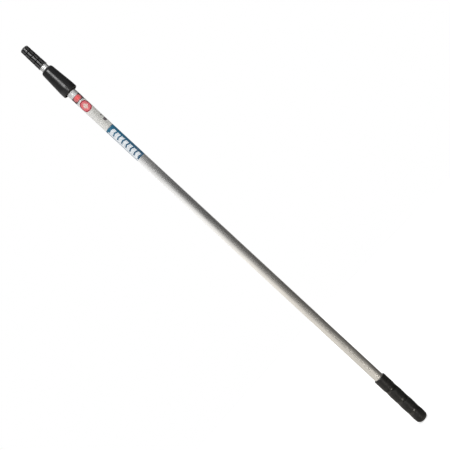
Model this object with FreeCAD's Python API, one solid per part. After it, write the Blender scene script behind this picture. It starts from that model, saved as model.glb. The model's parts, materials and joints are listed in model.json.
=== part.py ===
import FreeCAD, Part
import math
import os

# Roller extension pole: a two-section telescoping tube with a twist-lock collar.
# The pole stands upright: +Z runs from the butt of the hand grip to the tool tip,
# the origin is the centre of the butt end, and the printed labels face -Y.
# All lengths are in millimetres and all heights are measured from the butt end.
# The pole is drawn closed (inner section pushed home) with the collar locked.

# ---------------------------------------------------------------- outer section
TUBE_OUTER_R = 12.7          # 1 inch tube
TUBE_WALL = 1.0
TUBE_BOTTOM_Z = 6.0
TUBE_TOP_Z = 1211.0

GRIP_TOP_Z = 151.0
GRIP_SLEEVE_R = 16.1         # plain band at the top of the grip
GRIP_BAND_BOTTOM_Z = 121.0
GRIP_FLOOR = 4.0             # rubber below the end of the tube
GRIP_BUTT_ROUND_R = 11.0     # rounded corner of the closed butt
GRIP_BUTT_FLAT_R = 5.0       # small flat the pole is rested on
GRIP_LIP_ROUND = 1.2
GRIP_WAIST_Z = 34.8          # lowest waist; the others follow at GRIP_PITCH
GRIP_PITCH = 38.4
GRIP_LOBE_DROP = 15.0        # each lobe peaks this far below its waist
GRIP_WAIST_R = (15.8, 15.8, 15.4)
GRIP_LOBE_R = (16.4, 16.5, 16.2)

BUTT_PLUG_TOP_Z = 16.0
BUTT_PLUG_WALL = 2.2
BUTT_PLUG_ROOF = 3.0

# ---------------------------------------------------------------- inner section
INNER_R = 11.1
INNER_WALL = 1.0
INNER_BOTTOM_Z = 40.0
INNER_TOP_Z = 1282.0

PLUG_BOTTOM_Z = 18.0
PLUG_HEAD_R = 11.55
PLUG_SHANK_TOP_Z = 70.0
PLUG_VENT_R = 4.0
PLUG_GROOVE_Z = (26.0, 32.0)
PLUG_GROOVE_R = 10.2
PLUG_PIN_Z = 55.0
PLUG_PIN_R = 1.5
PLUG_CHAMFER = 1.0           # lead-in on the ends of both plugs

GLIDE_END_GAP = 0.05         # play between the glide ring and its groove walls
GLIDE_RADIAL_GAP = 0.05
GLIDE_SLIT = 1.5

# ---------------------------------------------------------------- guide sleeve
SLEEVE_BOTTOM_Z = 1130.5
SLEEVE_BORE_GAP = 0.1
SLEEVE_FLANGE = 1.0

# ---------------------------------------------------------------- lock ferrule
FERRULE_BOTTOM_Z = 1192.5
FERRULE_TOP_Z = 1246.0
FERRULE_R = 15.4
FERRULE_BORE_R = 11.25
FERRULE_SEAT_Z = 1231.0      # the conical seat starts here and opens upwards
FERRULE_SEAT_R = 12.2
FERRULE_MOUTH_R = 14.2
FERRULE_PIN_Z = 1197.0
FERRULE_PIN_R = 1.6
FERRULE_PIN_COUNT = 3
FERRULE_FOOT_CHAMFER = 0.8
FERRULE_LIP_CHAMFER = 0.4

# ---------------------------------------------------------------- screw thread
THREAD_LEAD = 8.0            # one turn of the collar moves it this far
THREAD_CREST_R = 17.0        # crest of the male ridge
THREAD_ROOT_HALF = 2.2       # half width of the male ridge at the ferrule wall
THREAD_CREST_HALF = 1.3
THREAD_SINK = 0.5            # how far a ridge is buried in the wall behind it
THREAD_RADIAL_GAP = 0.3
THREAD_FLANK_GAP = 0.25
MALE_THREAD_Z = (1205.5, 1232.0)
FEMALE_THREAD_Z = (1210.0, 1226.0)

# ---------------------------------------------------------------- clamp parts
CLAMP_BOTTOM_Z = 1233.0
CLAMP_FLANGE_Z = 1247.5
CLAMP_TOP_Z = 1251.0
CLAMP_FLANGE_R = 14.9
CLAMP_BORE_GAP = 0.05
CLAMP_SEAT_GAP = 0.08
CLAMP_SLIT = 1.6
CLAMP_SLOT = 1.2
CLAMP_SLOT_COUNT = 5
CLAMP_SLOT_TOP_Z = 1245.0
WASHER_R = (11.7, 15.6)
WASHER_THICK = 1.2

# ---------------------------------------------------------------- lock collar
COLLAR_RIM_Z = 1189.0
COLLAR_BAND_TOP_Z = 1204.0
COLLAR_SHOULDER_Z = 1263.5
COLLAR_TOP_Z = 1271.0
COLLAR_BAND_R = 21.0
COLLAR_SHOULDER_R = 17.1
COLLAR_MOUTH_R = 12.8
COLLAR_BORE_R = 11.5
COLLAR_SKIRT_BORE_R = 18.7
COLLAR_SKIRT_TOP_Z = 1201.0
COLLAR_CAVITY_R = 16.1
COLLAR_RIM_ROUND = 1.6       # outside of the rim
COLLAR_LIP_ROUND = 0.5       # inside of the rim
COLLAR_MOUTH_ROUND = 0.5
COLLAR_BLEND_R = 60.0        # softens the corner between band and taper
COLLAR_CEILING_GAP = 0.05
WIPER_Z = (1259.0, 1262.0)
WIPER_GROOVE_R = 13.4
WIPER_GAP = 0.05

# ---------------------------------------------------------------- tool tip
TIP_FLANGE_R = 12.6          # plain stop at the base, below the flutes
TIP_FLANGE_TOP_Z = 1284.5
TIP_SEAT_R = 12.35           # rear segment, the seat of a roller frame's socket
TIP_TOP_Z = 1347.5
TIP_GROOVE_Z = (1301.0, 1317.0, 1331.3)
TIP_GROOVE_WIDTH = 2.2
TIP_GROOVE_DEPTH = 1.2
TIP_GROOVE_ROUND = 0.75      # rounded corners of each groove's floor
TIP_SEGMENT_R = ((12.15, 12.0), (11.95, 11.75), (11.65, 11.4))
TIP_NOSE_ROUND = 3.5
TIP_EDGE_ROUND = 0.2         # worn-smooth edges beside the ring grooves
TIP_FLUTE_COUNT = 10
TIP_FLUTE_R = 1.45           # half a flute's width, and the round of its floor
TIP_FLUTE_DEPTH = 2.1
TIP_FLUTE_PHASE = -110.0     # angle of one flute, degrees from +X
TIP_SHANK_BOTTOM_Z = 1250.0
TIP_SHANK_BORE_R = 7.0
TIP_SHANK_CHAMFER = 0.8
TIP_BORE_TOP_Z = 1338.0
TIP_RIVET_Z = 1277.8
TIP_RIVET_R = 1.6
TIP_RIVET_HEAD_R = 2.2
TIP_RIVET_HEAD_RISE = 0.7
TIP_RIVET_DEPTH = 2.6
TIP_RIVET_ANGLE = -128.0     # degrees from +X, the second rivet is opposite

# ---------------------------------------------------------------- labels
FILM = 0.1                   # thickness of the printed films
LABEL_FRONT = -90.0          # the labels are centred on -Y
STICKER_Z = (1156.3, 1172.5)
STICKER_SPAN = 150.0
DATA_Z = (1060.0, 1152.5)
DATA_SPAN = 330.0
BANNER_Z = (952.0, 1058.0)
BANNER_SPAN = 330.0

# ---------------------------------------------------------------- derived sizes
TUBE_BORE_R = TUBE_OUTER_R - TUBE_WALL
INNER_BORE_R = INNER_R - INNER_WALL
SEAT_SLOPE = (FERRULE_MOUTH_R - FERRULE_SEAT_R) / (FERRULE_TOP_Z - FERRULE_SEAT_Z)
SOCKET_TOP_Z = TUBE_TOP_Z + SLEEVE_FLANGE
WASHER_TOP_Z = CLAMP_TOP_Z + WASHER_THICK
CEILING_Z = WASHER_TOP_Z + COLLAR_CEILING_GAP
FEMALE_BORE_R = THREAD_CREST_R + THREAD_RADIAL_GAP
FEMALE_CREST_R = FERRULE_R + THREAD_RADIAL_GAP

UP = FreeCAD.Vector(0, 0, 1)
ORIGIN = FreeCAD.Vector(0, 0, 0)


def at(radius, height):
    """A point of a lathe outline, in the plane of +X and +Z."""
    return FreeCAD.Vector(radius, 0, height)


def lathe(edges):
    """The solid made by turning a closed outline of edges about the pole's axis."""
    face = Part.Face(Part.Wire(Part.__sortEdges__(edges)))
    return face.revolve(ORIGIN, UP, 360)


def rounded_edges(corners, extra=()):
    """Edges through corners of (radius, height) or (radius, height, rounding).

    The line closes back to the first corner unless extra edges close it instead.
    """
    count = len(corners)
    points = [at(corner[0], corner[1]) for corner in corners]
    entry = list(points)
    leave = list(points)
    edges = list(extra)
    for index, corner in enumerate(corners):
        if len(corner) > 2:
            here = points[index]
            back = (points[index - 1] - here).normalize()
            ahead = (points[(index + 1) % count] - here).normalize()
            half_angle = back.getAngle(ahead) / 2
            reach = corner[2] / math.tan(half_angle)
            entry[index] = here + back * reach
            leave[index] = here + ahead * reach
            middle = (back + ahead).normalize()
            deep = here + middle * (corner[2] / math.sin(half_angle) - corner[2])
            edges.append(Part.Arc(entry[index], deep, leave[index]).toShape())
    last = count - 1 if extra else count
    for index in range(last):
        edges.append(Part.makeLine(leave[index], entry[(index + 1) % count]))
    return edges


def lathe_points(corners):
    """The solid made by turning a closed outline of corners, some of them rounded."""
    return lathe(rounded_edges(corners))


def line(start, end):
    return Part.makeLine(at(*start), at(*end))


def arc(start, middle, end):
    return Part.Arc(at(*start), at(*middle), at(*end)).toShape()


def elliptic_edge(centre, reach_r, reach_z):
    """A quarter of an ellipse about a point of the outline, bulging out and up."""
    top = at(centre[0], centre[1] + reach_z)
    side = at(centre[0] + reach_r, centre[1])
    ellipse = Part.Ellipse(top, side, at(*centre))
    start = ellipse.parameter(side)
    end = ellipse.parameter(top)
    first, last = sorted((start, end))
    if last - first > math.pi:
        first, last = last - 2 * math.pi, first
    return ellipse.toShape(first, last)


def tube(inner_r, outer_r, bottom, top):
    body = Part.makeCylinder(outer_r, top - bottom, at(0, bottom))
    return body.cut(Part.makeCylinder(inner_r, top - bottom, at(0, bottom)))


def turned(shape, degrees):
    copy = shape.copy()
    copy.rotate(ORIGIN, UP, degrees)
    return copy


def radial_pin(radius, inner_r, outer_r, height, degrees):
    """A round pin pointing away from the axis, from inner_r out to outer_r."""
    pin = Part.makeCylinder(radius, outer_r - inner_r, at(inner_r, height), FreeCAD.Vector(1, 0, 0))
    return turned(pin, degrees)


def thread_ridge(wall_r, crest_r, wall_half, crest_half, bottom, top, phase_z):
    """A helical ridge standing from wall_r to crest_r, right-handed, one start."""
    turns_before = math.floor((bottom - phase_z) / THREAD_LEAD)
    start_z = phase_z + (turns_before + 1) * THREAD_LEAD
    height = top - start_z
    slope = (crest_half - wall_half) / abs(crest_r - wall_r)
    inward = 1.0 if crest_r > wall_r else -1.0
    buried_r = wall_r - inward * THREAD_SINK
    buried_half = wall_half - slope * THREAD_SINK
    corners = [
        at(buried_r, -buried_half),
        at(crest_r, -crest_half),
        at(crest_r, crest_half),
        at(buried_r, buried_half),
    ]
    profile = Part.makePolygon(corners + corners[:1])
    helix = Part.makeHelix(THREAD_LEAD, height, wall_r)
    ridge = Part.Wire(helix.Edges).makePipeShell([profile], True, True)
    ridge.translate(at(0, start_z))
    return ridge


def save(name, shape):
    shape.exportStep("parts/" + name + ".step")


# ---------------------------------------------------------------- outer section
def outer_tube():
    body = tube(TUBE_BORE_R, TUBE_OUTER_R, TUBE_BOTTOM_Z, TUBE_TOP_Z)
    for pin in ferrule_pins():
        body = body.cut(pin)
    return body


def grip_side():
    """The waisted side of the grip, as one smooth curve from butt round to top band."""
    points = [at(GRIP_BUTT_FLAT_R + GRIP_BUTT_ROUND_R, GRIP_BUTT_ROUND_R)]
    for index, waist_r in enumerate(GRIP_WAIST_R):
        waist_z = GRIP_WAIST_Z + GRIP_PITCH * index
        points.append(at(GRIP_LOBE_R[index], waist_z - GRIP_LOBE_DROP))
        points.append(at(waist_r, waist_z))
    points.append(at(GRIP_SLEEVE_R, GRIP_BAND_BOTTOM_Z))
    side = Part.BSplineCurve()
    side.interpolate(points, InitialTangent=UP, FinalTangent=UP)
    return side.toShape()


def hand_grip():
    flat = GRIP_BUTT_FLAT_R
    bend = GRIP_BUTT_ROUND_R
    half = bend * math.sin(math.radians(45))
    lip = GRIP_TOP_Z - GRIP_LIP_ROUND
    inset = GRIP_LIP_ROUND * (1 - math.sin(math.radians(45)))
    edges = [
        line((0, 0), (flat, 0)),
        arc((flat, 0), (flat + half, bend - half), (flat + bend, bend)),
        grip_side(),
        line((GRIP_SLEEVE_R, GRIP_BAND_BOTTOM_Z), (GRIP_SLEEVE_R, lip)),
        arc((GRIP_SLEEVE_R, lip), (GRIP_SLEEVE_R - inset, GRIP_TOP_Z - inset),
            (GRIP_SLEEVE_R - GRIP_LIP_ROUND, GRIP_TOP_Z)),
        line((GRIP_SLEEVE_R - GRIP_LIP_ROUND, GRIP_TOP_Z), (TUBE_OUTER_R, GRIP_TOP_Z)),
        line((TUBE_OUTER_R, GRIP_TOP_Z), (TUBE_OUTER_R, GRIP_FLOOR)),
        line((TUBE_OUTER_R, GRIP_FLOOR), (0, GRIP_FLOOR)),
        line((0, GRIP_FLOOR), (0, 0)),
    ]
    return lathe(edges)


def butt_plug():
    """Cup-shaped plug closing the tube's lower end inside the grip."""
    cup_r = TUBE_BORE_R - BUTT_PLUG_WALL
    return lathe_points([
        (cup_r, GRIP_FLOOR),
        (TUBE_OUTER_R, GRIP_FLOOR),
        (TUBE_OUTER_R, TUBE_BOTTOM_Z),
        (TUBE_BORE_R, TUBE_BOTTOM_Z),
        (TUBE_BORE_R, BUTT_PLUG_TOP_Z - PLUG_CHAMFER),
        (TUBE_BORE_R - PLUG_CHAMFER, BUTT_PLUG_TOP_Z),
        (0, BUTT_PLUG_TOP_Z),
        (0, BUTT_PLUG_TOP_Z - BUTT_PLUG_ROOF),
        (cup_r, BUTT_PLUG_TOP_Z - BUTT_PLUG_ROOF),
    ])


def guide_sleeve():
    """Thin liner in the top of the outer tube that the inner tube slides in."""
    bore_r = INNER_R + SLEEVE_BORE_GAP
    return lathe_points([
        (bore_r, SLEEVE_BOTTOM_Z),
        (TUBE_BORE_R, SLEEVE_BOTTOM_Z),
        (TUBE_BORE_R, TUBE_TOP_Z),
        (TUBE_OUTER_R, TUBE_TOP_Z),
        (TUBE_OUTER_R, SOCKET_TOP_Z),
        (bore_r, SOCKET_TOP_Z),
    ])


def ferrule_pins():
    """Pins that hold the ferrule to the tube, flush with both walls."""
    pins = []
    for index in range(FERRULE_PIN_COUNT):
        angle = 360.0 * index / FERRULE_PIN_COUNT + 90.0
        pins.append(radial_pin(FERRULE_PIN_R, 0, 2 * FERRULE_R, FERRULE_PIN_Z, angle))
    shell = tube(TUBE_BORE_R, FERRULE_R, FERRULE_BOTTOM_Z, MALE_THREAD_Z[0])
    return [pin.common(shell) for pin in pins]


def lock_ferrule():
    """Threaded body fixed on the tube's top end, with a conical seat in its mouth."""
    body = lathe_points([
        (TUBE_OUTER_R, FERRULE_BOTTOM_Z),
        (FERRULE_R - FERRULE_FOOT_CHAMFER, FERRULE_BOTTOM_Z),
        (FERRULE_R, FERRULE_BOTTOM_Z + FERRULE_FOOT_CHAMFER),
        (FERRULE_R, FERRULE_TOP_Z - FERRULE_LIP_CHAMFER),
        (FERRULE_R - FERRULE_LIP_CHAMFER, FERRULE_TOP_Z),
        (FERRULE_MOUTH_R, FERRULE_TOP_Z),
        (FERRULE_SEAT_R, FERRULE_SEAT_Z),
        (FERRULE_BORE_R, FERRULE_SEAT_Z),
        (FERRULE_BORE_R, SOCKET_TOP_Z),
        (TUBE_OUTER_R, SOCKET_TOP_Z),
    ])
    ridge = thread_ridge(FERRULE_R, THREAD_CREST_R, THREAD_ROOT_HALF, THREAD_CREST_HALF,
                         MALE_THREAD_Z[0] + THREAD_ROOT_HALF, MALE_THREAD_Z[1] - THREAD_ROOT_HALF, 0.0)
    body = body.fuse(ridge)
    for pin in ferrule_pins():
        body = body.cut(pin)
    return body


# ---------------------------------------------------------------- clamp parts
def clamp_ring():
    """Split cone squeezed on the inner tube when the collar pushes it down its seat."""
    bore_r = INNER_R + CLAMP_BORE_GAP

    def cone_r(height):
        return FERRULE_SEAT_R + SEAT_SLOPE * (height - FERRULE_SEAT_Z) - CLAMP_SEAT_GAP

    ring = lathe_points([
        (bore_r, CLAMP_BOTTOM_Z),
        (cone_r(CLAMP_BOTTOM_Z), CLAMP_BOTTOM_Z),
        (cone_r(CLAMP_FLANGE_Z), CLAMP_FLANGE_Z),
        (CLAMP_FLANGE_R, CLAMP_FLANGE_Z),
        (CLAMP_FLANGE_R, CLAMP_TOP_Z),
        (bore_r, CLAMP_TOP_Z),
    ])
    height = CLAMP_TOP_Z - CLAMP_BOTTOM_Z
    reach = 2 * CLAMP_FLANGE_R
    slit = Part.makeBox(reach, CLAMP_SLIT, height, FreeCAD.Vector(0, -CLAMP_SLIT / 2, CLAMP_BOTTOM_Z))
    ring = ring.cut(turned(slit, 90.0))
    slot_height = CLAMP_SLOT_TOP_Z - CLAMP_BOTTOM_Z
    slot = Part.makeBox(reach, CLAMP_SLOT, slot_height, FreeCAD.Vector(0, -CLAMP_SLOT / 2, CLAMP_BOTTOM_Z))
    spacing = 360.0 / (CLAMP_SLOT_COUNT + 1)
    for index in range(CLAMP_SLOT_COUNT):
        ring = ring.cut(turned(slot, 90.0 + spacing * (index + 1)))
    return ring


def thrust_washer():
    return tube(WASHER_R[0], WASHER_R[1], CLAMP_TOP_Z, WASHER_TOP_Z)


# ---------------------------------------------------------------- lock collar
def collar_shell():
    """The turned body of the collar, before its thread is added."""
    crown = elliptic_edge((COLLAR_MOUTH_R, COLLAR_SHOULDER_Z),
                          COLLAR_SHOULDER_R - COLLAR_MOUTH_R, COLLAR_TOP_Z - COLLAR_SHOULDER_Z)
    thread_top = MALE_THREAD_Z[1] + THREAD_LEAD / 2
    corners = [
        (COLLAR_MOUTH_R, COLLAR_TOP_Z),
        (COLLAR_BORE_R, COLLAR_TOP_Z, COLLAR_MOUTH_ROUND),
        (COLLAR_BORE_R, WIPER_Z[1]),
        (WIPER_GROOVE_R, WIPER_Z[1]),
        (WIPER_GROOVE_R, WIPER_Z[0]),
        (COLLAR_BORE_R, WIPER_Z[0]),
        (COLLAR_BORE_R, CEILING_Z),
        (COLLAR_CAVITY_R, CEILING_Z),
        (COLLAR_CAVITY_R, thread_top),
        (FEMALE_BORE_R, thread_top - (FEMALE_BORE_R - COLLAR_CAVITY_R)),
        (FEMALE_BORE_R, COLLAR_SKIRT_TOP_Z + (COLLAR_SKIRT_BORE_R - FEMALE_BORE_R)),
        (COLLAR_SKIRT_BORE_R, COLLAR_SKIRT_TOP_Z),
        (COLLAR_SKIRT_BORE_R, COLLAR_RIM_Z, COLLAR_LIP_ROUND),
        (COLLAR_BAND_R, COLLAR_RIM_Z, COLLAR_RIM_ROUND),
        (COLLAR_BAND_R, COLLAR_BAND_TOP_Z, COLLAR_BLEND_R),
        (COLLAR_SHOULDER_R, COLLAR_SHOULDER_Z),
    ]
    return lathe(rounded_edges(corners, [crown]))


def lock_collar():
    """Hand nut with a right-hand thread inside and an open skirt."""
    slope = (THREAD_CREST_HALF - THREAD_ROOT_HALF) / (THREAD_CREST_R - FERRULE_R)

    def free_half(radius):
        male_half = THREAD_ROOT_HALF + slope * (radius - FERRULE_R)
        return THREAD_LEAD / 2 - male_half - THREAD_FLANK_GAP

    ridge = thread_ridge(FEMALE_BORE_R, FEMALE_CREST_R, free_half(FEMALE_BORE_R), free_half(FEMALE_CREST_R),
                         FEMALE_THREAD_Z[0], FEMALE_THREAD_Z[1], THREAD_LEAD / 2)
    return collar_shell().fuse(ridge)


def wiper_ring():
    """Soft ring in the collar's mouth that keeps paint out of the lock."""
    return tube(INNER_R + WIPER_GAP, WIPER_GROOVE_R - WIPER_GAP,
                WIPER_Z[0] + WIPER_GAP, WIPER_Z[1] - WIPER_GAP)


# ---------------------------------------------------------------- inner section
def inner_end_plug():
    """Vented plug in the inner tube's lower end, grooved for the glide ring."""
    body = lathe_points([
        (PLUG_VENT_R, PLUG_BOTTOM_Z),
        (PLUG_HEAD_R - PLUG_CHAMFER, PLUG_BOTTOM_Z),
        (PLUG_HEAD_R, PLUG_BOTTOM_Z + PLUG_CHAMFER),
        (PLUG_HEAD_R, PLUG_GROOVE_Z[0]),
        (PLUG_GROOVE_R, PLUG_GROOVE_Z[0]),
        (PLUG_GROOVE_R, PLUG_GROOVE_Z[1]),
        (PLUG_HEAD_R, PLUG_GROOVE_Z[1]),
        (PLUG_HEAD_R, INNER_BOTTOM_Z),
        (INNER_BORE_R, INNER_BOTTOM_Z),
        (INNER_BORE_R, PLUG_SHANK_TOP_Z - PLUG_CHAMFER),
        (INNER_BORE_R - PLUG_CHAMFER, PLUG_SHANK_TOP_Z),
        (PLUG_VENT_R, PLUG_SHANK_TOP_Z),
    ])
    return body.cut(end_plug_pin())


def end_plug_pin():
    """Cross pin through the inner tube and its plug, flush with the tube."""
    pin = Part.makeCylinder(PLUG_PIN_R, 2 * INNER_R, at(-INNER_R, PLUG_PIN_Z), FreeCAD.Vector(1, 0, 0))
    return pin.common(Part.makeCylinder(INNER_R, 4 * PLUG_PIN_R, at(0, PLUG_PIN_Z - 2 * PLUG_PIN_R)))


def glide_ring():
    """Split ring that rides on the outer tube's bore and turns in the plug's groove."""
    bottom = PLUG_GROOVE_Z[0] + GLIDE_END_GAP
    top = PLUG_GROOVE_Z[1] - GLIDE_END_GAP
    ring = tube(PLUG_GROOVE_R + GLIDE_RADIAL_GAP, TUBE_BORE_R - GLIDE_RADIAL_GAP, bottom, top)
    slit = Part.makeBox(TUBE_BORE_R, GLIDE_SLIT, top - bottom, FreeCAD.Vector(0, -GLIDE_SLIT / 2, bottom))
    return ring.cut(turned(slit, 90.0))


def inner_tube():
    body = tube(INNER_BORE_R, INNER_R, INNER_BOTTOM_Z, INNER_TOP_Z)
    body = body.cut(end_plug_pin())
    for rivet in tip_rivets():
        body = body.cut(rivet)
    return body


def tip_rivets():
    """Two dome-headed rivets through the inner tube into the tip's shank."""
    head_r = (TIP_RIVET_HEAD_R ** 2 + TIP_RIVET_HEAD_RISE ** 2) / (2 * TIP_RIVET_HEAD_RISE)
    centre_x = INNER_R + TIP_RIVET_HEAD_RISE - head_r
    shank = Part.makeCylinder(TIP_RIVET_R, TIP_RIVET_DEPTH + TIP_RIVET_HEAD_RISE / 2,
                              at(INNER_R - TIP_RIVET_DEPTH, TIP_RIVET_Z), FreeCAD.Vector(1, 0, 0))
    head = Part.makeSphere(head_r, at(centre_x, TIP_RIVET_Z))
    keep = Part.makeCylinder(TIP_RIVET_HEAD_R, TIP_RIVET_HEAD_RISE * 2,
                             at(INNER_R - TIP_RIVET_HEAD_RISE / 2, TIP_RIVET_Z), FreeCAD.Vector(1, 0, 0))
    tube_side = Part.makeCylinder(INNER_R, 8 * TIP_RIVET_R, at(0, TIP_RIVET_Z - 4 * TIP_RIVET_R))
    head = head.common(keep).cut(tube_side)
    rivet = shank.fuse(head).removeSplitter()
    return [turned(rivet, TIP_RIVET_ANGLE), turned(rivet, TIP_RIVET_ANGLE + 180.0)]


def tip_outline():
    """Stepped outside of the tip with its three ring grooves, and the shank below."""
    corners = [
        (TIP_SHANK_BORE_R, TIP_SHANK_BOTTOM_Z),
        (INNER_BORE_R - TIP_SHANK_CHAMFER, TIP_SHANK_BOTTOM_Z),
        (INNER_BORE_R, TIP_SHANK_BOTTOM_Z + TIP_SHANK_CHAMFER),
        (INNER_BORE_R, INNER_TOP_Z),
        (TIP_FLANGE_R, INNER_TOP_Z, TIP_EDGE_ROUND),
        (TIP_FLANGE_R, TIP_FLANGE_TOP_Z, TIP_EDGE_ROUND),
        (TIP_SEAT_R, TIP_FLANGE_TOP_Z),
    ]
    rear_r = TIP_SEAT_R
    for groove_z, (start_r, end_r) in zip(TIP_GROOVE_Z, TIP_SEGMENT_R):
        floor_r = rear_r - TIP_GROOVE_DEPTH
        low = groove_z - TIP_GROOVE_WIDTH / 2
        high = groove_z + TIP_GROOVE_WIDTH / 2
        corners.append((rear_r, low, TIP_EDGE_ROUND))
        corners.append((floor_r, low, TIP_GROOVE_ROUND))
        corners.append((floor_r, high, TIP_GROOVE_ROUND))
        corners.append((start_r, high, TIP_EDGE_ROUND))
        rear_r = end_r
    corners.append((rear_r, TIP_TOP_Z, TIP_NOSE_ROUND))
    corners.append((0, TIP_TOP_Z))
    corners.append((0, TIP_BORE_TOP_Z))
    corners.append((TIP_SHANK_BORE_R, TIP_BORE_TOP_Z))
    return corners


def tip_flute():
    """Cutter for one round-floored flute, leaning inwards with the taper of the tip."""
    length = TIP_TOP_Z - TIP_FLANGE_TOP_Z
    lean = math.degrees(math.atan((TIP_SEAT_R - TIP_SEGMENT_R[-1][1]) / length))
    start = at(TIP_SEAT_R + TIP_FLUTE_R - TIP_FLUTE_DEPTH, INNER_TOP_Z)
    side = FreeCAD.Vector(0, TIP_FLUTE_R, 0)
    out = FreeCAD.Vector(TIP_FLUTE_DEPTH, 0, 0)
    floor = Part.Arc(start + side, start - FreeCAD.Vector(TIP_FLUTE_R, 0, 0), start - side).toShape()
    walls = Part.makePolygon([start - side, start - side + out, start + side + out, start + side])
    section = Part.Face(Part.Wire(Part.__sortEdges__([floor] + walls.Edges)))
    flute = section.extrude(UP * 2 * length)
    flute.rotate(start, FreeCAD.Vector(0, 1, 0), -lean)
    return flute.common(Part.makeCylinder(2 * TIP_SEAT_R, 2 * length, at(0, TIP_FLANGE_TOP_Z)))


def tool_tip():
    """Fluted push-fit tip that the socket of a roller frame slides over."""
    body = lathe_points(tip_outline())
    flute = tip_flute()
    for index in range(TIP_FLUTE_COUNT):
        body = body.cut(turned(flute, TIP_FLUTE_PHASE + 360.0 * index / TIP_FLUTE_COUNT))
    for rivet in tip_rivets():
        body = body.cut(rivet)
    return body


# ---------------------------------------------------------------- labels
def label_film(bottom, top, span):
    """A printed film bent round the outer tube, centred on the front."""
    section = Part.Face(Part.makePolygon([
        at(TUBE_OUTER_R, bottom),
        at(TUBE_OUTER_R + FILM, bottom),
        at(TUBE_OUTER_R + FILM, top),
        at(TUBE_OUTER_R, top),
        at(TUBE_OUTER_R, bottom),
    ]))
    return turned(section.revolve(ORIGIN, UP, span), LABEL_FRONT - span / 2)


def build():
    os.makedirs("parts", exist_ok=True)
    save("outer_tube", outer_tube())
    save("hand_grip", hand_grip())
    save("butt_plug", butt_plug())
    save("guide_sleeve", guide_sleeve())
    save("lock_ferrule", lock_ferrule())
    save("ferrule_pins", Part.makeCompound(ferrule_pins()))
    save("clamp_ring", clamp_ring())
    save("thrust_washer", thrust_washer())
    save("lock_collar", lock_collar())
    save("wiper_ring", wiper_ring())
    save("inner_tube", inner_tube())
    save("inner_end_plug", inner_end_plug())
    save("end_plug_pin", end_plug_pin())
    save("glide_ring", glide_ring())
    save("tool_tip", tool_tip())
    save("tip_rivets", Part.makeCompound(tip_rivets()))
    save("red_sticker", label_film(STICKER_Z[0], STICKER_Z[1], STICKER_SPAN))
    save("data_label", label_film(DATA_Z[0], DATA_Z[1], DATA_SPAN))
    save("banner_label", label_film(BANNER_Z[0], BANNER_Z[1], BANNER_SPAN))


build()
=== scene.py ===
import json
import math

import bpy
import numpy as np
from mathutils import Matrix, Vector


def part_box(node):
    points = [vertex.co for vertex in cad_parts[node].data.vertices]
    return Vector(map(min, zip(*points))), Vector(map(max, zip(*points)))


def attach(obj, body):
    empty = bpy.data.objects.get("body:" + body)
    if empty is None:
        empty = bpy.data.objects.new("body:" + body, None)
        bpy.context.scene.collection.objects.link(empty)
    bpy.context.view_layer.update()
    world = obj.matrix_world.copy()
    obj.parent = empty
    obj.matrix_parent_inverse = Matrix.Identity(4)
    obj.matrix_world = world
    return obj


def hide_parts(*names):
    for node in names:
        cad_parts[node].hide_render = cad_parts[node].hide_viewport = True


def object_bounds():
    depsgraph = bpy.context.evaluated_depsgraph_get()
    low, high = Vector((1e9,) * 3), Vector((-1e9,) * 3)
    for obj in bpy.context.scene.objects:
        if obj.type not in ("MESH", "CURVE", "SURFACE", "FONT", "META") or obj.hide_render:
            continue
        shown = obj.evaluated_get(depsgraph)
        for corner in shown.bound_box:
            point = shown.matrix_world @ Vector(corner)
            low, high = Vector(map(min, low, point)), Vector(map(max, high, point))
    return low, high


# Roller extension pole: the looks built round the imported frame, in metres.
# The pole stands upright, butt at the origin, with its printed labels facing -Y.
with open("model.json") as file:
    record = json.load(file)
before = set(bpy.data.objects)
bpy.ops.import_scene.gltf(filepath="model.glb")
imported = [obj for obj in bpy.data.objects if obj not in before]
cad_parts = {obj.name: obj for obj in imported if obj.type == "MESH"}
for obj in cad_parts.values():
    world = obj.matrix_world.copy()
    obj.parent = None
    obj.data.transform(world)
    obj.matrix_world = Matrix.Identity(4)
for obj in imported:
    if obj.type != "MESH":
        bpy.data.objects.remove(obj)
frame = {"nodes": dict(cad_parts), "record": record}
CAD_LOW, CAD_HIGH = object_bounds()

MM = 0.001

# ---------------------------------------------------------------- camera sizes
CAMERA_LENS = 84.5
CAMERA_SENSOR = 36.0
CAMERA_CLIP = 0.05
CAMERA_DISTANCE = 2.609      # from the pole's middle, straight in front of the labels
POLE_LEAN = 42.8             # the pole runs down to the right by this much in the picture
POLE_SHIFT = (-3.0 * MM, 21.8 * MM)    # its middle lies this far right of and below the centre

# ---------------------------------------------------------------- hand grip sizes
GRIP_FLAT_R = 5.0 * MM
GRIP_FLAT_RINGS = (0.0, 0.35, 0.7, 1.0)    # rings on the butt's flat, as shares of its radius
GRIP_BUTT_ROUND = 11.0 * MM
GRIP_BUTT_STEPS = 26
GRIP_LIP_ROUND = 1.2 * MM
GRIP_LIP_STEPS = 6
GRIP_BORE_BEVEL = 0.4 * MM
GRIP_FLOOR = 4.0 * MM
# Height and radius in mm of each lobe and waist in turn; the side swells smoothly between them.
GRIP_SIDE = (
    (11.0, 16.0), (19.8, 16.4), (34.8, 15.8), (58.2, 16.5), (73.2, 15.8),
    (96.6, 16.2), (111.6, 15.4), (121.0, 16.1), (149.8, 16.1),
)
GRIP_WAISTS = tuple(height * MM for height, _ in GRIP_SIDE[2:8:2])
GRIP_COLUMNS = 336
GRIP_ROW = 0.38 * MM
PIP_AROUND = 56              # raised pips in one turn of the grip
PIP_PITCH = 1.8 * MM
PIP_HEIGHT = 0.05 * MM
PIP_ZONE = (14.0 * MM, 119.0 * MM)
PIP_FADE = 2.0 * MM
SEAM_HEIGHT = 0.07 * MM      # mould line down each side of the grip
SEAM_HALF = 0.45 * MM
SHARP_ANGLE = 50.0           # faces that meet at more than this many degrees keep a sharp edge

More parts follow.
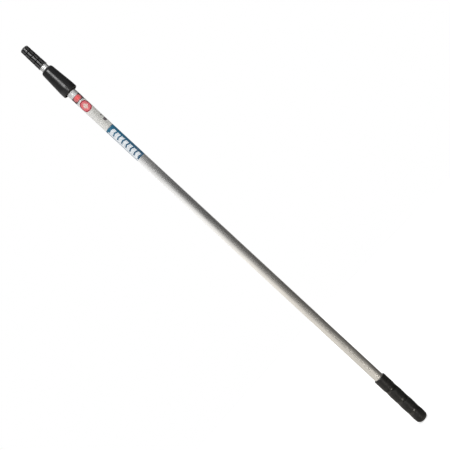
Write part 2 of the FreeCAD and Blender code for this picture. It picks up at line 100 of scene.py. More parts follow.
# ---------------------------------------------------------------- surfaces
NOISE_RANGE = (0.3, 0.7)     # most of a noise lies between these
EDGE_SAMPLES = 4
EDGE_ROUND = 0.3 * MM        # moulded edges look rounded by this much
EDGE_WEAR = 0.45 * MM        # and are rubbed pale this far from the edge
EDGE_FACING = (0.97, 0.80)   # the product of true and rounded normals, off an edge and on it
RUBBED_PALE = 2.2            # how much lighter a rubbed edge is, and by how much more at the least
RUBBED_LIFT = 0.01

# ---------------------------------------------------------------- rubber skin
RUBBER_GLOSS = 0.46
WAIST_SMOOTH = 3.5 * MM      # the skin is smooth this close to a waist
WAIST_FADE = 2.0 * MM        # and takes this much more height to turn matt
WAIST_SHINE = 0.25           # a waist is this much less rough
WAIST_GLOSS = 0.16           # and this much glossier
DUST_TONE = (0.040, 0.035, 0.029)
DUST_SHARE = 0.6

# ---------------------------------------------------------------- tool tip sizes
# The tip's lands taper from their foot, on the flange over the inner tube, to the tip's head.
TIP_FLANGE = 2.5 * MM
TIP_FOOT = (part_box("inner_tube")[1].z + TIP_FLANGE, 12.35 * MM)    # height and radius
TIP_HEAD = (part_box("tool_tip")[1].z, 11.4 * MM)
TIP_NOSE_HEIGHT = 4.0 * MM   # the rounded nose, which has no recesses
RECESS_DEPTH = (0.2 * MM, 0.7 * MM)    # a recess is fully matt and fully painted dark from the deeper of these
RECESS_SHADE_TONE = 0.15           # painted shade: a recess keeps this share of the plastic's colour
RECESS_DULL = 0.25           # is this much rougher
RECESS_LOSS = 0.85           # and loses this share of the gloss

# ---------------------------------------------------------------- label sizes
# Places on a label are (across, up) in metres: across from its centre line towards +X.
INK_SOFT = 0.12 * MM         # softness of a printed edge
DIAMOND_SOFT = 0.04          # the same for a diamond, as a share of its half size
BACKING_TONE = (0.022, 0.013, 0.015)
# The sticker's red patch and its brighter core: centre from the sticker's middle, half width,
# dark margin above and below, corner radius and colour.
RED_PATCHES = (
    ((0.0, 0.3 * MM), 12.0 * MM, 1.1 * MM, 7.0 * MM, (0.55, 0.16, 0.165)),
    ((1.0 * MM, 0.9 * MM), 6.4 * MM, 3.2 * MM, 4.8 * MM, (0.82, 0.115, 0.12)),
)

PAPER_PAINTED_SHADE_FROM = 5.0 * MM      # painted shade: the pale film is painted darkest from here towards +X
PAPER_PAINTED_LIGHT_FROM = -8.0 * MM     # and painted light: it is painted brightest from here towards -X, its lit side
RING_DROP = 16.0 * MM        # from the data label's upper edge to its ring's centre
RING_R = 15.6 * MM           # the dark rim
RING_INNER_R = 12.2 * MM     # and the brighter red inside it
DIAMOND_HALF = (7.5 * MM, 8.5 * MM)
BARS_ABOVE = 4.0 * MM        # the rows of bars start this far above the label's lower edge
BARS_HEIGHT = 50.0 * MM
BAR_PITCH = 3.4 * MM         # one row of bars to the next
BAR_ROW = (0.30, 0.62)       # where a bar starts and ends in its row, as shares of the pitch
BAR_SOFT = 0.03              # softness of a bar's edges, as a share of the pitch
BAR_CENTRE = 3.5 * MM
BAR_HALF = 6.0 * MM          # half the shortest bar
BAR_RAGGED = 7.0 * MM        # the longest bar reaches this much further each way
BAR_VARY = 0.618             # each row's reach steps on by this share of the ragged part
BAR_INK = 0.42
BLOCK_ACROSS = 11.2 * MM
BLOCK_CORNER = 0.8 * MM
# Dark blocks beside the bars: height above the label's lower edge, and half width and height.
DARK_BLOCKS = ((20.9 * MM, (5.1 * MM, 4.3 * MM)), (35.6 * MM, (2.6 * MM, 1.7 * MM)))

BANNER_WHITE = (0.70, 0.745, 0.79)
BANNER_MARKS = 7
BANNER_PITCH = 13.7 * MM
BANNER_MARK_HALF = 4.8 * MM
BANNER_MARGIN = 5.5 * MM     # above the last mark
BANNER_STRIP = -9.6 * MM     # the white strip runs from here towards -X
BANNER_STRIP_TOP = (5.0 * MM, 7.0 * MM)    # and fades in between these depths from the upper edge
BANNER_MARK_END = 6.6 * MM   # the marks run from the strip to here
BANNER_POINT = -1.6 * MM     # their points are here
BANNER_LEAN = 0.35           # each side of a mark drops this much for its length
BANNER_LINE = (-17.6 * MM, -14.4 * MM)    # the thin line lies on the strip, between these

# ---------------------------------------------------------------- floor sizes
FLOOR_RINGS = 20
FLOOR_RING_WIDTH = 0.15
FLOOR_COLUMNS = 96
FLOOR_GLOW = 0.55

# ---------------------------------------------------------------- studio light
# Azimuth is 0 towards the camera and grows towards +X; angles are in degrees.
# Brightness round the studio at three elevations, as (azimuth, brightness) stops.
LIGHT_LEVEL = (
    (-180.0, 1.10), (-120.0, 1.46), (-71.0, 1.38), (-38.0, 0.84), (-8.0, 0.12),
    (28.0, 0.06), (110.0, 0.07), (150.0, 0.60), (180.0, 1.10),
)
LIGHT_RAISED = (
    (-180.0, 0.30), (-130.0, 0.45), (-100.0, 0.55), (-45.0, 0.46), (-10.0, 0.20), (18.0, 0.55),
    (45.0, 0.73), (75.0, 0.36), (100.0, 0.08), (120.0, 0.05), (155.0, 0.18), (180.0, 0.30),
)
LIGHT_LOWERED = (
    (-180.0, 0.60), (-130.0, 0.66), (-100.0, 0.88), (-62.0, 0.98), (-36.0, 0.84), (-5.0, 0.19),
    (30.0, 0.37), (70.0, 0.11), (120.0, 0.06), (155.0, 0.34), (180.0, 0.60),
)
RAISED_FROM = (6.3, 11.4)    # each kind of light takes over between two elevations
LOWERED_FROM = (-1.8, -9.4)
# Even light further up and down: the elevations it takes over between, and its brightness.
EVEN_LIGHT = (
    ((14.5, 19.0), 0.28), ((40.0, 55.0), 1.1),
    ((-15.0, -19.0), 0.20), ((-34.0, -48.0), 0.6),
)
# Softboxes over and under the camera: width, elevations where they fade in and out, brightness.
SOFTBOXES = (
    (13.0, (14.6, 17.2), (20.0, 27.0), 18.5),
    (14.0, (-14.5, -16.0), (-18.5, -21.5), 10.0),
)
WARMTH = (1.04, 0.975, 0.875)
WARM_FROM = (2.0, -4.0)      # light from below is tinted by the warmth
WHITE = (1.0, 1.0, 1.0)


class Graph:
    """Short ways to add shader nodes and join them."""

    def __init__(self, tree):
        self.tree = tree
        self.place = None

    def add(self, kind, **settings):
        node = self.tree.nodes.new("ShaderNode" + kind)
        for key, value in settings.items():
            setattr(node, key, value)
        return node

    def plug(self, socket, value):
        """Joins a socket to another socket, or sets it to a plain value."""
        if isinstance(value, bpy.types.NodeSocket):
            self.tree.links.new(value, socket)
        elif isinstance(value, tuple) and len(value) == 3 and socket.type == "RGBA":
            socket.default_value = (*value, 1.0)
        else:
            socket.default_value = value

    def fill(self, node, values):
        """Joins or sets a node's inputs by name."""
        for name, value in values.items():
            self.plug(node.inputs[name], value)

    def calc(self, operation, *values):
        node = self.add("Math", operation=operation)
        for socket, value in zip(node.inputs, values):
            self.plug(socket, value)
        return node.outputs[0]

    def plus(self, first, second):
        return self.calc("ADD", first, second)

    def minus(self, first, second):
        return self.calc("SUBTRACT", first, second)

    def times(self, first, second):
        return self.calc("MULTIPLY", first, second)

    def away(self, value, centre):
        """How far a value is from a centre, either way."""
        return self.calc("ABSOLUTE", self.minus(value, centre))

    def length(self, first, second):
        """The length of a step with these two legs."""
        return self.calc("SQRT", self.plus(self.times(first, first), self.times(second, second)))

    def vector(self, operation, first, second):
        node = self.add("VectorMath", operation=operation)
        self.plug(node.inputs[0], first)
        self.plug(node.inputs[1], second)
        return node

    def rise(self, value, low, high, start=0.0, end=1.0):
        """A smooth step from start to end as the value goes from low to high."""
        node = self.add("MapRange", interpolation_type="SMOOTHSTEP")
        for socket, setting in zip(node.inputs, (value, low, high, start, end)):
            self.plug(socket, setting)
        return node.outputs[0]

    def swing(self, noise, start=0.0, end=1.0):
        """Goes from start to end over a noise's usual range."""
        return self.rise(noise, *NOISE_RANGE, start, end)

    def within(self, value, low, high, soft):
        """1 between low and high and 0 outside, with soft edges."""
        up = self.rise(value, low - soft, low + soft)
        down = self.rise(value, high - soft, high + soft, 1.0, 0.0)
        return self.times(up, down)

    def blend(self, factor, under, over):
        node = self.add("Mix", data_type="RGBA")
        self.plug(node.inputs[0], factor)
        self.plug(node.inputs[6], under)
        self.plug(node.inputs[7], over)
        return node.outputs[2]

    def object_place(self):
        """The point's own place on its piece, in metres."""
        if self.place is None:
            self.place = self.add("TexCoord").outputs["Object"]
        return self.place

    def axes(self):
        """The point's x, y and z on its piece."""
        node = self.add("SeparateXYZ")
        self.plug(node.inputs[0], self.object_place())
        return node.outputs

    def noise_at(self, place, detail=2.0, rough=0.5):
        node = self.add("TexNoise")
        self.fill(node, {"Vector": place, "Scale": 1.0, "Detail": detail, "Roughness": rough})
        return node.outputs["Fac"]

    def noise(self, scale, detail=3.0, rough=0.5):
        """Noise whose grain is 1 / scale metres, given one scale or one per axis."""
        scale = scale if isinstance(scale, tuple) else (scale, scale, scale)
        place = self.vector("MULTIPLY", self.object_place(), scale).outputs[0]
        return self.noise_at(place, detail, rough)

    def bump(self, height, distance, strength, normal=None):
        node = self.add("Bump")
        self.fill(node, {"Height": height, "Distance": distance, "Strength": strength})
        if normal is not None:
            self.fill(node, {"Normal": normal})
        return node.outputs[0]

    def soft_edges(self, radius):
        """The surface normal with edges rounded over by a small radius."""
        node = self.add("Bevel", samples=EDGE_SAMPLES)
        self.fill(node, {"Radius": radius})
        return node.outputs[0]

    def edges(self, radius):
        """1 on sharp edges and 0 on flat or gently curved faces."""
        true = self.add("NewGeometry").outputs["Normal"]
        facing = self.vector("DOT_PRODUCT", self.soft_edges(radius), true)
        return self.rise(facing.outputs["Value"], *EDGE_FACING)


def material(name):
    """A new material with its node graph and its Principled shader."""
    made = bpy.data.materials.new(name)
    made.use_nodes = True
    graph = Graph(made.node_tree)
    shader = made.node_tree.nodes["Principled BSDF"]
    return made, graph, shader


def toned(tone, share):
    """A colour made darker or lighter."""
    return tuple(min(1.0, part * share) for part in tone)


# ---------------------------------------------------------------- materials
def drawn_aluminium(name, tone, roughness, rubbed=False):
    """Satin tube with fine drawing lines along its length and a few light scratches."""
    made, graph, shader = material(name)
    broad = graph.noise((260.0, 260.0, 5.0), detail=2.0)
    fine = graph.noise((1900.0, 1900.0, 14.0), detail=4.0, rough=0.65)
    cloud = graph.noise((30.0, 30.0, 9.0))
    lines = graph.plus(graph.times(broad, 0.45), graph.times(fine, 0.55))
    light = toned(tone, 1.05)
    dark = toned(tone, 0.90)
    colour = graph.blend(graph.swing(lines), dark, light)
    colour = graph.blend(graph.rise(cloud, 0.55, 0.8, 0.0, 0.35), colour, dark)
    scratch = graph.noise((700.0, 700.0, 60.0), detail=1.0)
    patchy = graph.noise(22.0, detail=1.0)
    scratch = graph.times(graph.rise(scratch, 0.74, 0.78), graph.rise(patchy, 0.5, 0.65))
    colour = graph.blend(graph.times(scratch, 0.5), colour, light)
    grain = graph.plus(lines, graph.times(scratch, -0.8))
    if rubbed:
        turned = graph.noise((40.0, 40.0, 2600.0))
        grain = graph.plus(grain, graph.times(turned, 0.35))
    dull = graph.plus(graph.rise(cloud, 0.3, 0.75, roughness - 0.03, roughness + 0.05),
                      graph.swing(lines, -0.03, 0.03))
    around = graph.add("Tangent", direction_type="RADIAL", axis="Z").outputs[0]
    bumps = graph.bump(grain, 0.02 * MM, 0.35)
    graph.fill(shader, {"Base Color": colour, "Metallic": 1.0, "Roughness": dull, "Normal": bumps,
                        "Anisotropic": 0.9, "Tangent": around})
    return made


def tip_recess(graph):
    """1 deep in the flutes and ring grooves of the tool tip and 0 on its lands and nose."""
    east, north, up = graph.axes()
    taper = (TIP_HEAD[1] - TIP_FOOT[1]) / (TIP_HEAD[0] - TIP_FOOT[0])
    land = graph.plus(graph.times(up, taper), TIP_FOOT[1] - taper * TIP_FOOT[0])
    deep = graph.rise(graph.minus(land, graph.length(east, north)), *RECESS_DEPTH)
    nose = TIP_HEAD[0] - TIP_NOSE_HEIGHT
    below = graph.rise(up, nose, nose + MM, 1.0, 0.0)
    above = graph.rise(up, TIP_FOOT[0] - MM, TIP_FOOT[0])
    return graph.times(deep, graph.times(below, above))


def moulded_plastic(name, tone, roughness, gloss=0.5, recess_of=None):
    """Satin moulded plastic, finely grained, its edges rubbed lighter and its recesses matt and painted
    dark as shade.
    """
    made, graph, shader = material(name)
    fine = graph.noise(3200.0, detail=4.0, rough=0.6)
    cloud = graph.noise(55.0)
    marks = graph.noise((260.0, 260.0, 900.0), detail=2.0)
    colour = graph.blend(cloud, toned(tone, 0.8), toned(tone, 1.2))
    edge = graph.times(graph.edges(EDGE_WEAR), graph.rise(marks, 0.35, 0.65))
    pale = tuple(part * RUBBED_PALE + RUBBED_LIFT for part in tone)
    colour = graph.blend(graph.times(edge, 0.5), colour, pale)
    scuff = graph.rise(marks, 0.62, 0.72, 0.0, 0.08)
    dull = graph.plus(graph.swing(cloud, roughness - 0.05, roughness + 0.05), scuff)
    shine = gloss
    if recess_of is not None:
        recess = recess_of(graph)
        # Painted shade: recesses are darkened in colour, as well as made rougher and less glossy.
        colour = graph.blend(recess, colour, toned(tone, RECESS_SHADE_TONE))
        dull = graph.plus(dull, graph.times(recess, RECESS_DULL))
        shine = graph.minus(gloss, graph.times(recess, gloss * RECESS_LOSS))
    bumps = graph.bump(fine, 0.012 * MM, 0.5, graph.soft_edges(EDGE_ROUND))
    graph.fill(shader, {"Base Color": colour, "Roughness": dull, "Specular IOR Level": shine,
                        "Normal": bumps})
    return made


def natural_acetal(name, tone):
    """Milky unpigmented plastic that lets a little light into its surface."""
    made, graph, shader = material(name)
    cloud = graph.noise(90.0)
    fine = graph.noise(2500.0)
    colour = graph.blend(cloud, toned(tone, 0.93), tone)
    dull = graph.swing(fine, 0.32, 0.46)
    bumps = graph.bump(fine, 0.01 * MM, 0.4)
    graph.fill(shader, {"Base Color": colour, "Roughness": dull, "Normal": bumps,
                        "Subsurface Weight": 0.25, "Subsurface Scale": 0.6 * MM,
                        "Subsurface Radius": (1.6, 1.4, 1.1)})
    return made


def soft_rubber(name, tone, roughness, waists=()):
    """Matt black rubber, faintly mottled and dusty, rubbed smooth and shiny at its waists."""
    made, graph, shader = material(name)
    skin = graph.noise(2600.0, detail=5.0, rough=0.7)
    mottle = graph.noise(240.0, rough=0.6)
    cloud = graph.noise(45.0, detail=2.0)
    specks = graph.noise(430.0, detail=2.0, rough=0.6)
    colour = graph.blend(mottle, toned(tone, 0.7), toned(tone, 1.4))
    dusty = graph.times(graph.rise(specks, 0.50, 0.62), graph.rise(skin, 0.35, 0.6))
    dusty = graph.times(dusty, graph.rise(cloud, 0.35, 0.6, 0.35, 1.0))
    dull = graph.plus(graph.swing(mottle, roughness - 0.05, roughness + 0.06),
                      graph.rise(cloud, 0.4, 0.8, -0.02, 0.05))
    gloss = RUBBER_GLOSS
    up = graph.axes()[2]
    for waist in waists:
        near = graph.rise(graph.away(up, waist), WAIST_SMOOTH, WAIST_SMOOTH + WAIST_FADE, 1.0, 0.0)
        dull = graph.minus(dull, graph.times(near, WAIST_SHINE))
        gloss = graph.plus(graph.times(near, WAIST_GLOSS), gloss)
        dusty = graph.times(dusty, graph.minus(1.0, near))
    colour = graph.blend(graph.times(dusty, DUST_SHARE), colour, DUST_TONE)
    bumps = graph.bump(skin, 0.02 * MM, 0.45)
    graph.fill(shader, {"Base Color": colour, "Roughness": dull, "Specular IOR Level": gloss,
                        "Normal": bumps})
    return made


def turned_metal(name, tone, roughness, ring_scale):
    """Plated or bare metal with turning marks in rings round the pole's axis."""
    made, graph, shader = material(name)
    east, north, up = graph.axes()
    joined = graph.add("CombineXYZ")
    graph.fill(joined, {"X": graph.times(graph.length(east, north), ring_scale),
                        "Z": graph.times(up, ring_scale)})
    rings = graph.noise_at(joined.outputs[0])
    mottle = graph.noise(500.0)
    colour = graph.blend(mottle, toned(tone, 0.85), tone)
    dull = graph.swing(mottle, roughness - 0.06, roughness + 0.08)
    bumps = graph.bump(rings, 0.02 * MM, 0.4)
    graph.fill(shader, {"Base Color": colour, "Metallic": 1.0, "Roughness": dull, "Normal": bumps})
    return made


# ---------------------------------------------------------------- printed films
def print_places(graph, radius):
    """How far a point is round the film from its centre line, and its height."""
    east, north, up = graph.axes()
    turn = graph.calc("ARCTAN2", east, graph.times(north, -1.0))
    return graph.times(turn, radius), up


def block(graph, across, up, centre, half, corner):
    """A printed rectangle with rounded corners."""
    over_x = graph.minus(graph.away(across, centre[0]), half[0] - corner)
    over_z = graph.minus(graph.away(up, centre[1]), half[1] - corner)
    reach = graph.length(graph.calc("MAXIMUM", over_x, 0.0), graph.calc("MAXIMUM", over_z, 0.0))
    return graph.rise(reach, corner + INK_SOFT, corner - INK_SOFT)


def disc(graph, across, up, centre, radius):
    """A printed disc."""
    from_centre = graph.length(graph.minus(across, centre[0]), graph.minus(up, centre[1]))
    return graph.rise(from_centre, radius + INK_SOFT, radius - INK_SOFT)


def diamond(graph, across, up, centre, half):
    """A printed diamond."""
    side = graph.calc("DIVIDE", graph.away(across, centre[0]), half[0])
    rise = graph.calc("DIVIDE", graph.away(up, centre[1]), half[1])
    return graph.rise(graph.plus(side, rise), 1.0 + DIAMOND_SOFT, 1.0 - DIAMOND_SOFT)


def film_finish(graph, shader, colour):
    """Gives the printed colour its film: slight gloss, faint ripples and handling marks."""
    ripple = graph.noise((60.0, 60.0, 25.0), detail=2.0)
    smear = graph.noise((300.0, 300.0, 90.0), detail=4.0, rough=0.6)
    dots = graph.noise(1500.0, detail=2.0)
    marked = graph.times(graph.rise(smear, 0.55, 0.75), 0.10)
    colour = graph.blend(marked, colour, (0.55, 0.54, 0.50))
    colour = graph.blend(graph.rise(dots, 0.62, 0.8, 0.0, 0.08), colour, (0.9, 0.9, 0.88))
    dull = graph.swing(smear, 0.30, 0.42)
    bumps = graph.bump(ripple, 0.08 * MM, 0.4)
    graph.fill(shader, {"Base Color": colour, "Roughness": dull, "Specular IOR Level": 0.3,
                        "Normal": bumps})


def red_film(radius, low, high):
    """Near-black panel with a plain rounded red patch; no symbol or wording."""
    made, graph, shader = material("red_film")
    across, up = print_places(graph, radius)
    middle = (low + high) / 2
    half_height = (high - low) / 2
    colour = BACKING_TONE
    for (side, rise), half_width, margin, corner, red in RED_PATCHES:
        half = (half_width, half_height - margin)
        patch = block(graph, across, up, (side, middle + rise), half, corner)
        colour = graph.blend(patch, colour, red)
    film_finish(graph, shader, colour)
    return made


def grey_bars(graph, across, up, start):
    """Rows of plain bars of uneven length, from a starting height upwards."""
    place = graph.calc("DIVIDE", graph.minus(up, start), BAR_PITCH)
    in_row = graph.calc("FRACT", place)
    row = graph.calc("FLOOR", place)
    ragged = graph.calc("FRACT", graph.times(row, BAR_VARY))
    end = graph.plus(graph.times(ragged, BAR_RAGGED), BAR_HALF)
    reach = graph.calc("LESS_THAN", graph.away(across, BAR_CENTRE), end)
    bar = graph.times(graph.within(in_row, *BAR_ROW, BAR_SOFT), reach)
    return graph.times(bar, graph.within(up, start, start + BARS_HEIGHT, INK_SOFT))


def data_film(radius, low, high):
    """Pale film with a plain red ring at the top, and rows of plain grey bars and two plain dark
    blocks below."""
    made, graph, shader = material("data_film")
    across, up = print_places(graph, radius)
    # Painted light and shade: the film's colour is lighter towards -X and darker towards +X, as light
    # falls on it.
    shade = graph.rise(across, PAPER_PAINTED_SHADE_FROM, PAPER_PAINTED_LIGHT_FROM)
    colour = graph.blend(shade, (0.57, 0.57, 0.545), (0.69, 0.69, 0.675))
    centre = (0.0, high - RING_DROP)
    colour = graph.blend(disc(graph, across, up, centre, RING_R), colour, (0.37, 0.04, 0.065))
    colour = graph.blend(disc(graph, across, up, centre, RING_INNER_R), colour, (0.73, 0.17, 0.19))
    colour = graph.blend(diamond(graph, across, up, centre, DIAMOND_HALF), colour, (0.72, 0.53, 0.49))
    bars = grey_bars(graph, across, up, low + BARS_ABOVE)
    colour = graph.blend(graph.times(bars, BAR_INK), colour, (0.20, 0.20, 0.19))
    for height, half in DARK_BLOCKS:
        dark = block(graph, across, up, (BLOCK_ACROSS, low + height), half, BLOCK_CORNER)
        colour = graph.blend(dark, colour, (0.115, 0.10, 0.11))
    film_finish(graph, shader, colour)
    return made


def chevrons(graph, across, up, high):
    """A column of plain chevrons that ends below the banner's upper edge."""
    column = BANNER_PITCH * BANNER_MARKS
    lean = graph.times(graph.away(across, BANNER_POINT), BANNER_LEAN)
    along = graph.minus(graph.plus(up, lean), high - BANNER_MARGIN - column)
    share = graph.calc("FRACT", graph.calc("DIVIDE", along, BANNER_PITCH))
    thick = BANNER_MARK_HALF / BANNER_PITCH
    bars = graph.within(share, 0.5 - thick, 0.5 + thick, INK_SOFT / BANNER_PITCH)
    rows = graph.within(along, 0.0, column, INK_SOFT)
    span = graph.within(across, BANNER_STRIP, BANNER_MARK_END, INK_SOFT)
    return graph.times(graph.times(bars, rows), span)


def banner_film(radius, low, high):
    """Blue film with a column of plain chevrons, a white strip and a thin line."""
    made, graph, shader = material("banner_film")
    across, up = print_places(graph, radius)
    colour = graph.blend(graph.rise(up, low, high), (0.035, 0.105, 0.185), (0.022, 0.135, 0.235))
    strip = graph.times(graph.rise(across, BANNER_STRIP + INK_SOFT, BANNER_STRIP - INK_SOFT),
                        graph.rise(up, *(high - depth for depth in BANNER_STRIP_TOP)))
    colour = graph.blend(strip, colour, BANNER_WHITE)
    colour = graph.blend(graph.within(across, *BANNER_LINE, INK_SOFT), colour, (0.05, 0.11, 0.19))
    colour = graph.blend(chevrons(graph, across, up, high), colour, BANNER_WHITE)
    film_finish(graph, shader, colour)
    return made


def label_box(node):
    """A label's radius and the heights of its lower and upper edges."""
    low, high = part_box(node)
    return -low.y, low.z, high.z


MATERIALS = {
    "tube_aluminium": drawn_aluminium("tube_aluminium", (0.80, 0.80, 0.795), 0.36),
    "inner_aluminium": drawn_aluminium("inner_aluminium", (0.76, 0.76, 0.755), 0.33, rubbed=True),
    "grip_rubber": soft_rubber("grip_rubber", (0.003, 0.003, 0.0028), 0.42, GRIP_WAISTS),
    "wiper_rubber": soft_rubber("wiper_rubber", (0.006, 0.006, 0.006), 0.55),
    "collar_plastic": moulded_plastic("collar_plastic", (0.004, 0.004, 0.0045), 0.26, 0.55),
    "tip_plastic": moulded_plastic("tip_plastic", (0.030, 0.030, 0.031), 0.32, 0.75, tip_recess),
    "ferrule_plastic": moulded_plastic("ferrule_plastic", (0.022, 0.022, 0.022), 0.50),
    "plug_plastic": moulded_plastic("plug_plastic", (0.06, 0.06, 0.06), 0.50),
    "natural_plastic": natural_acetal("natural_plastic", (0.82, 0.80, 0.74)),
    "washer_steel": turned_metal("washer_steel", (0.62, 0.62, 0.62), 0.30, 5200.0),
    "pin_steel": turned_metal("pin_steel", (0.60, 0.60, 0.60), 0.34, 2500.0),
    "rivet_aluminium": turned_metal("rivet_aluminium", (0.74, 0.74, 0.73), 0.42, 3000.0),
    "red_film": red_film(*label_box("red_sticker")),
    "data_film": data_film(*label_box("data_label")),
    "banner_film": banner_film(*label_box("banner_label")),
}


def dress_frame():
    """Gives every CAD node the material of its slot in the record."""
    for part in frame["record"]["subparts"]:
        slot = part["material_slot"]
        name = "inner_aluminium" if part["node"] == "inner_tube" else slot
        node = frame["nodes"][part["node"]]
        node.data.materials.clear()
        node.data.materials.append(MATERIALS[name])


# ---------------------------------------------------------------- meshes
def new_piece(name, points, faces):
    """A mesh object in the scene."""
    mesh = bpy.data.meshes.new(name)
    mesh.from_pydata(points, [], faces)
    mesh.update()
    made = bpy.data.objects.new(name, mesh)
    bpy.context.scene.collection.objects.link(made)
    return made


def lathe_mesh(name, outline, columns, relief_of):
    """A closed skin turned about the pole's axis; both ends of the outline are on it."""
    angles = np.arange(columns) * (2 * math.pi / columns)
    points = [(0.0, 0.0, outline[0][1])]
    for radius, height in outline[1:-1]:
        ring = radius + relief_of(height, angles)
        points.extend(zip(ring * np.cos(angles), ring * np.sin(angles), np.full(columns, height)))
    points.append((0.0, 0.0, outline[-1][1]))
    last = len(points) - 1
    rings = len(outline) - 2
    faces = []
    for column in range(columns):
        after = (column + 1) % columns
        faces.append((0, 1 + after, 1 + column))
        for ring in range(rings - 1):
            low = 1 + ring * columns
            high = low + columns
            faces.append((low + column, low + after, high + after, high + column))
        base = 1 + (rings - 1) * columns
        faces.append((base + column, base + after, last))
    made = new_piece(name, [tuple(map(float, point)) for point in points], faces)
    made.data.polygons.foreach_set("use_smooth", [True] * len(faces))
    made.data.set_sharp_from_angle(angle=math.radians(SHARP_ANGLE))
    return made


# ---------------------------------------------------------------- hand grip
def smooth_step(share):
    return share * share * (3.0 - 2.0 * share)


def side_radius(height):
    """Radius of the grip's side, swelling smoothly between its lobes and waists."""
    for (low, low_r), (high, high_r) in zip(GRIP_SIDE, GRIP_SIDE[1:]):
        if height <= high * MM:
            share = max(0.0, (height - low * MM) / ((high - low) * MM))
            return (low_r + (high_r - low_r) * smooth_step(share)) * MM
    return GRIP_SIDE[-1][1] * MM


def side_ends(top):
    """Heights where the grip's side starts, above the round butt, and ends, below the lip."""
    return GRIP_SIDE[0][0] * MM, top - GRIP_LIP_ROUND


def quarter_turn(steps):
    """Angles that divide a quarter turn, without its start."""
    return [math.radians(90.0 * step / steps) for step in range(1, steps + 1)]


def grip_outline(bore, top):
    """Points (radius, height) from the middle of the butt up the outside and down the bore."""
    points = [(GRIP_FLAT_R * share, 0.0) for share in GRIP_FLAT_RINGS]
    for angle in quarter_turn(GRIP_BUTT_STEPS)[:-1]:
        points.append((GRIP_FLAT_R + GRIP_BUTT_ROUND * math.sin(angle),
                       GRIP_BUTT_ROUND * (1.0 - math.cos(angle))))
    low, high = side_ends(top)
    rows = round((high - low) / GRIP_ROW)
    for step in range(rows + 1):
        height = low + (high - low) * step / rows
        points.append((side_radius(height), height))
    outer = points[-1][0]
    for angle in quarter_turn(GRIP_LIP_STEPS):
        points.append((outer - GRIP_LIP_ROUND * (1.0 - math.cos(angle)),
                       high + GRIP_LIP_ROUND * math.sin(angle)))
    points.append((bore + GRIP_BORE_BEVEL, top))
    points.append((bore, top - GRIP_BORE_BEVEL))
    points.append((bore, GRIP_FLOOR))
    points.append((0.0, GRIP_FLOOR))
    return points


def relief(height, angle):
    """How far the grip's skin stands out at a point, from its pips and mould lines.

    The pips start half of WAIST_SMOOTH away from a waist and are full at one and a half.
    """
    low, high = PIP_ZONE
    shade = np.clip((height - low) / PIP_FADE, 0.0, 1.0) * np.clip((high - height) / PIP_FADE, 0.0, 1.0)
    for waist in GRIP_WAISTS:
        shade = shade * np.clip(np.abs(height - waist) / WAIST_SMOOTH - 0.5, 0.0, 1.0)
    rising = PIP_AROUND * angle + 2 * math.pi * height / PIP_PITCH
    falling = PIP_AROUND * angle - 2 * math.pi * height / PIP_PITCH
    pips = (0.5 + 0.5 * np.cos(rising)) * (0.5 + 0.5 * np.cos(falling)) * 2.0
    from_seam = np.abs(np.sin(angle)) * side_radius(height)
    seam = np.clip(1.0 - from_seam / SEAM_HALF, 0.0, 1.0) ** 2
    return shade * pips * PIP_HEIGHT + seam * SEAM_HEIGHT


def hand_grip():
    """The rubber grip with its waists, lobes, pips and mould lines as real relief."""
    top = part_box("hand_grip")[1].z
    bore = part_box("outer_tube")[1].x
    low, high = side_ends(top)

    def side_relief(height, angles):
        return relief(height, angles) if low <= height <= high else np.zeros(len(angles))

    grip = lathe_mesh("grip_sleeve", grip_outline(bore, top), GRIP_COLUMNS, side_relief)
    grip.data.materials.append(MATERIALS["grip_rubber"])
    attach(grip, "outer_section")
    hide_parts("hand_grip")


# ---------------------------------------------------------------- stage
def floor_paint():
    """Even pale paint with a faint glow of its own and no shine."""
    made, graph, shader = material("floor_pale")
    cloud = graph.noise(3.0, detail=2.0)
    colour = graph.blend(cloud, (0.82, 0.82, 0.82), (0.86, 0.86, 0.86))
    graph.fill(shader, {"Base Color": colour, "Roughness": 0.9, "Specular IOR Level": 0.0,
                        "Emission Color": WHITE, "Emission Strength": FLOOR_GLOW})
    return made


def floor():
    """A plain pale floor that the pole's butt stands on."""
    points = [(0.0, 0.0, 0.0)]
    faces = []
    for ring in range(FLOOR_RINGS):
        radius = FLOOR_RING_WIDTH * (ring + 1)
        start = 1 + ring * FLOOR_COLUMNS
        for column in range(FLOOR_COLUMNS):
            angle = 2 * math.pi * column / FLOOR_COLUMNS
            points.append((radius * math.cos(angle), radius * math.sin(angle), 0.0))
            here = start + column
            after = start + (column + 1) % FLOOR_COLUMNS
            if ring == 0:
                faces.append((0, here, after))
            else:
                faces.append((here - FLOOR_COLUMNS, here, after, after - FLOOR_COLUMNS))
    made = new_piece("floor", points, faces)
    made.data.materials.append(floor_paint())
    made.visible_glossy = False


def light_ramp(graph, azimuth, stops):
    """Brightness round the studio from (azimuth, brightness) stops."""
    node = graph.add("ValToRGB")
    graph.plug(node.inputs[0], graph.plus(graph.calc("DIVIDE", azimuth, 360.0), 0.5))
    ramp = node.color_ramp
    ramp.interpolation = "EASE"
    while len(ramp.elements) < len(stops):
        ramp.elements.new(0.5)
    for element, (angle, _) in zip(ramp.elements, stops):
        element.position = angle / 360.0 + 0.5
    for element, (_, brightness) in zip(ramp.elements, stops):
        element.color = (brightness, brightness, brightness, 1.0)
    return node.outputs[0]


def softbox(graph, azimuth, elevation, width, fade_in, fade_out, brightness):
    """A bright patch in front of the pole, fading in and out over its pairs of elevations."""
    off = graph.calc("DIVIDE", azimuth, width)
    across = graph.calc("EXPONENT", graph.times(graph.times(off, off), -1.0))
    start = graph.rise(elevation, *fade_in)
    end = graph.rise(elevation, *fade_out, brightness, 0.0)
    return graph.times(across, graph.times(start, end))


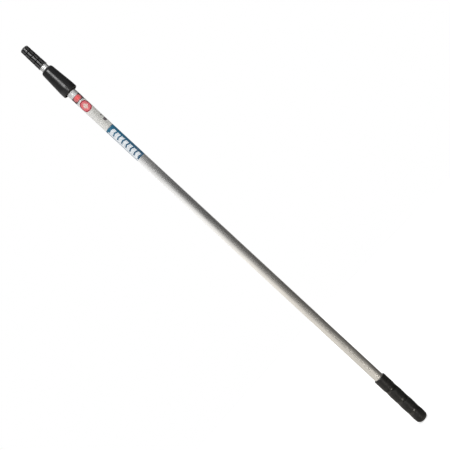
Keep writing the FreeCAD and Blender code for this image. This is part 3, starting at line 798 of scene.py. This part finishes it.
def studio_light(graph):
    """Soft light from all round, darker on the pole's right and warmer from below, with softboxes
    over and under the camera."""
    axes = graph.add("SeparateXYZ")
    graph.plug(axes.inputs[0], graph.add("TexCoord").outputs["Generated"])
    east, north, up = axes.outputs
    azimuth = graph.calc("DEGREES", graph.calc("ARCTAN2", east, graph.times(north, -1.0)))
    elevation = graph.calc("DEGREES", graph.calc("ARCSINE", up))
    light = light_ramp(graph, azimuth, LIGHT_LEVEL)
    for between, stops in ((RAISED_FROM, LIGHT_RAISED), (LOWERED_FROM, LIGHT_LOWERED)):
        light = graph.blend(graph.rise(elevation, *between), light, light_ramp(graph, azimuth, stops))
    for between, brightness in EVEN_LIGHT:
        light = graph.blend(graph.rise(elevation, *between), light, (brightness,) * 3)
    boxes = graph.plus(*(softbox(graph, azimuth, elevation, *box) for box in SOFTBOXES))
    spread = graph.add("CombineXYZ")
    for socket in spread.inputs:
        graph.plug(socket, boxes)
    total = graph.vector("ADD", light, spread.outputs[0]).outputs[0]
    warmth = graph.blend(graph.rise(elevation, *WARM_FROM), WHITE, WARMTH)
    return graph.vector("MULTIPLY", total, warmth).outputs[0]


def studio():
    """The studio's light on the pole, and plain white where the camera looks past the pole."""
    world = bpy.data.worlds.new("studio")
    bpy.context.scene.world = world
    world.use_nodes = True
    world.node_tree.nodes.clear()
    graph = Graph(world.node_tree)
    lit = graph.add("Background")
    graph.fill(lit, {"Color": studio_light(graph)})
    seen = graph.add("Background")
    graph.fill(seen, {"Color": WHITE})
    mixed = graph.add("MixShader")
    graph.plug(mixed.inputs[0], graph.add("LightPath").outputs["Is Camera Ray"])
    graph.plug(mixed.inputs[1], lit.outputs[0])
    graph.plug(mixed.inputs[2], seen.outputs[0])
    end = graph.add("OutputWorld")
    graph.plug(end.inputs[0], mixed.outputs[0])


def camera():
    """A camera square on to the pole's middle, rolled so that the pole lies across the picture."""
    data = bpy.data.cameras.new("camera")
    data.lens = CAMERA_LENS
    data.sensor_width = CAMERA_SENSOR
    data.clip_start = CAMERA_CLIP
    made = bpy.data.objects.new("camera", data)
    bpy.context.scene.collection.objects.link(made)
    lean = math.radians(POLE_LEAN)
    right = Vector((math.sin(lean), 0.0, -math.cos(lean)))
    up = Vector((math.cos(lean), 0.0, math.sin(lean)))
    back = right.cross(up)
    middle = (CAD_LOW + CAD_HIGH) / 2
    centre = middle - right * POLE_SHIFT[0] + up * POLE_SHIFT[1]
    place = centre + back * CAMERA_DISTANCE
    made.matrix_world = Matrix((
        (right.x, up.x, back.x, place.x),
        (right.y, up.y, back.y, place.y),
        (right.z, up.z, back.z, place.z),
        (0.0, 0.0, 0.0, 1.0),
    ))
    bpy.context.scene.camera = made


dress_frame()
hand_grip()
floor()
studio()
camera()
bpy.context.scene.view_settings.view_transform = "Standard"
